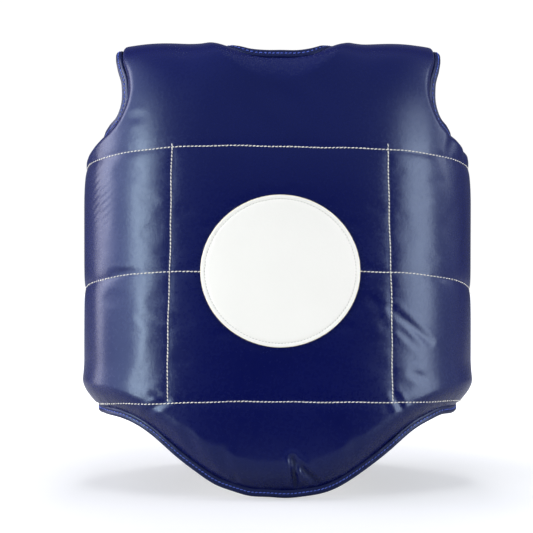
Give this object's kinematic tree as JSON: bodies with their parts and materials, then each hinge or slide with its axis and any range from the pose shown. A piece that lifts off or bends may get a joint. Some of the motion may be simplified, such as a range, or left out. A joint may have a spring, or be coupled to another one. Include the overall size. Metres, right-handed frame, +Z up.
{
  "type": "body protector",
  "caption": "Padded leather body protector vest with a quilted front, a plain round chest patch, bound edges, a scalloped hem and elastic bands across the open back.",
  "frame": {"origin": "on the floor under the middle of the vest, level with the lowest points of the hem", "axes": "+Z up from the hem to the shoulders, the quilted front faces -Y, +X to the viewer's right seen from the front"},
  "size_m": [0.4394, 0.2848, 0.4889],
  "materials": {
    "padded_leather": "glossy navy synthetic leather over foam",
    "edge_tape": "satin navy folded tape",
    "patch_leather": "satin white synthetic leather",
    "elastic_band": "matt ribbed elastic webbing"
  },
  "bodies": {
    "root": {"front_panel": "padded_leather", "back_panel_left": "padded_leather", "back_panel_right": "padded_leather", "neck_binding": "edge_tape", "armhole_binding_left": "edge_tape", "armhole_binding_right": "edge_tape", "hem_binding": "edge_tape", "back_edge_binding_left": "edge_tape", "back_edge_binding_right": "edge_tape", "disc_patch": "patch_leather", "back_strap_upper": "elastic_band", "back_strap_middle": "elastic_band", "back_strap_lower": "elastic_band"}
  },
  "joints": []
}
